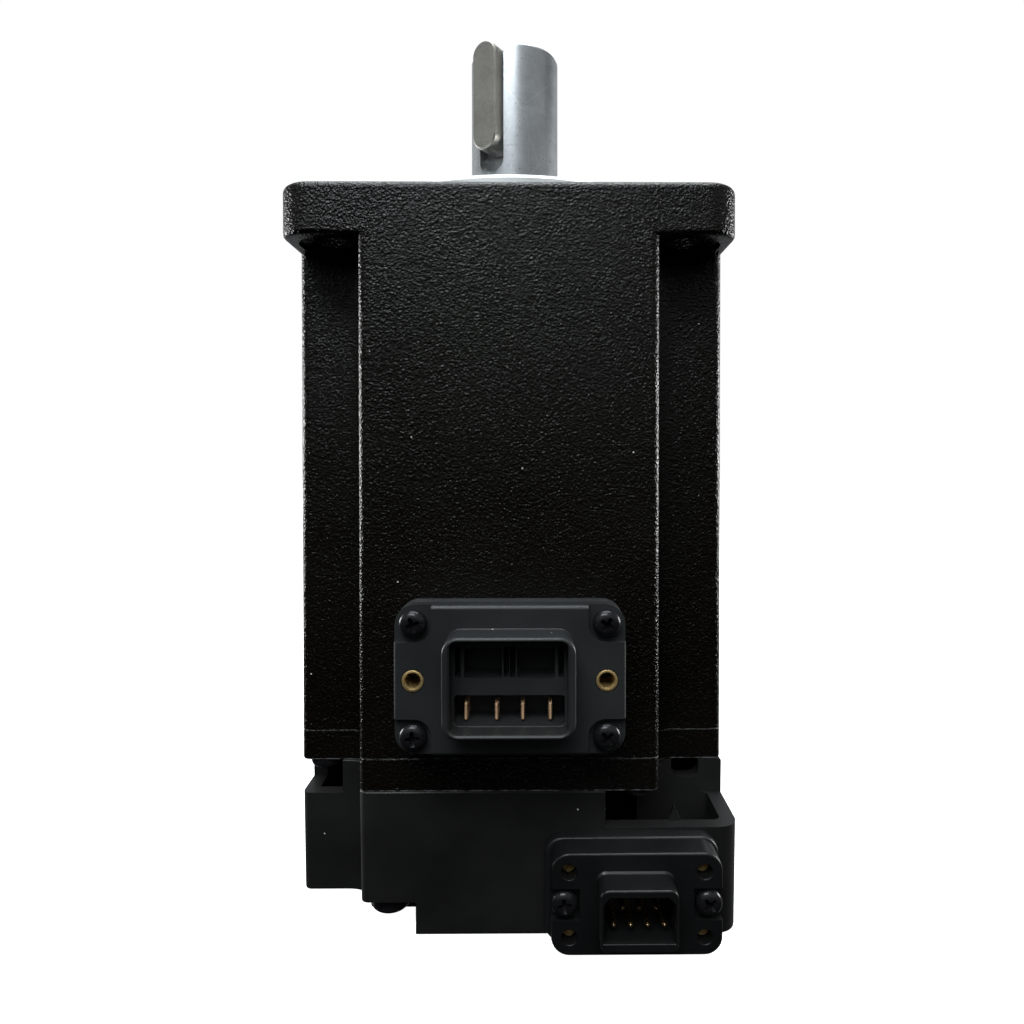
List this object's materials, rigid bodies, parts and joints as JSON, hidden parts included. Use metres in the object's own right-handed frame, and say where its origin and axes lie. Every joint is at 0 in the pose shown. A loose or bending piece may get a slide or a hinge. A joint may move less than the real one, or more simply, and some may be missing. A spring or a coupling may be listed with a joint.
{
  "type": "servo motor",
  "caption": "Square-flanged AC servo motor with keyed output shaft, front pilot, end bell, encoder cover, and power and encoder sockets on its front side.",
  "frame": {"origin": "on the shaft's axis, at the flat rear face of the encoder cover", "axes": "+Z along the shaft towards its tip; both connectors face -Y; +X is to the right seen from the connector side"},
  "size_m": [0.08, 0.0942, 0.1702],
  "materials": {
    "black_paint": "textured black paint on die-cast aluminium",
    "black_plastic": "matte moulded black plastic",
    "dark_rubber": "matte",
    "ground_steel": "ground",
    "key_steel": "drawn, dull",
    "blackened_steel": "blackened",
    "electrical_steel": "laminated",
    "magnet": "nickel plated",
    "copper": "bare or enamelled copper",
    "brass": "turned",
    "gold_plate": "gold plated",
    "circuit_board": "solder resist",
    "encoder_glass": "clear with a chrome track"
  },
  "bodies": {
    "stator": {"housing": "black_paint", "rear_end_bell": "black_paint", "encoder_cover": "black_plastic", "power_connector": "black_plastic", "encoder_connector": "black_plastic", "encoder_connector_base": "black_plastic", "encoder_read_head": "black_plastic", "shaft_seal": "dark_rubber", "power_gasket": "dark_rubber", "power_lead_bundle": "dark_rubber", "encoder_lead_bundle": "dark_rubber", "front_bearing_outer_ring": "ground_steel", "rear_bearing_outer_ring": "ground_steel", "wave_washer": "ground_steel", "end_bell_screw_1": "blackened_steel", "end_bell_screw_2": "blackened_steel", "end_bell_screw_3": "blackened_steel", "end_bell_screw_4": "blackened_steel", "cover_screw_1": "blackened_steel", "cover_screw_2": "blackened_steel", "power_screw_1": "blackened_steel", "power_screw_2": "blackened_steel", "power_screw_3": "blackened_steel", "power_screw_4": "blackened_steel", "encoder_screw_1": "blackened_steel", "encoder_screw_2": "blackened_steel", "encoder_board_screw_1": "blackened_steel", "encoder_board_screw_2": "blackened_steel", "stator_core": "electrical_steel", "stator_windings": "copper", "power_pin_1": "copper", "power_pin_2": "copper", "power_pin_3": "copper", "power_pin_4": "copper", "power_insert_1": "brass", "power_insert_2": "brass", "encoder_insert_1": "brass", "encoder_insert_2": "brass", "encoder_insert_3": "brass", "encoder_insert_4": "brass", "encoder_pin_1": "gold_plate", "encoder_pin_2": "gold_plate", "encoder_pin_3": "gold_plate", "encoder_pin_4": "gold_plate", "encoder_pin_5": "gold_plate", "encoder_pin_6": "gold_plate", "encoder_pin_7": "gold_plate", "encoder_board": "circuit_board"},
    "rotor": {"shaft": "ground_steel", "shaft_key": "key_steel", "rotor_core": "electrical_steel", "magnet_ring": "magnet", "front_bearing_inner_ring": "ground_steel", "rear_bearing_inner_ring": "ground_steel", "encoder_hub": "ground_steel", "encoder_disc": "encoder_glass"},
    "front_ball_set": {"front_bearing_balls": "ground_steel"},
    "rear_ball_set": {"rear_bearing_balls": "ground_steel"}
  },
  "joints": [
    {"name": "rotor_spin", "type": "hinge", "parent": "stator", "child": "rotor", "pos_m": [0, 0, 0.119], "axis": [0, 0, 1], "continuous": true},
    {"name": "front_balls_spin", "type": "hinge", "parent": "stator", "child": "front_ball_set", "pos_m": [0, 0, 0.1193], "axis": [0, 0, 1], "continuous": true},
    {"name": "rear_balls_spin", "type": "hinge", "parent": "stator", "child": "rear_ball_set", "pos_m": [0, 0, 0.031], "axis": [0, 0, 1], "continuous": true}
  ],
  "couplings": [
    {"joint": "front_balls_spin", "follows": "rotor_spin", "ratio": 0.391},
    {"joint": "rear_balls_spin", "follows": "rotor_spin", "ratio": 0.392}
  ]
}
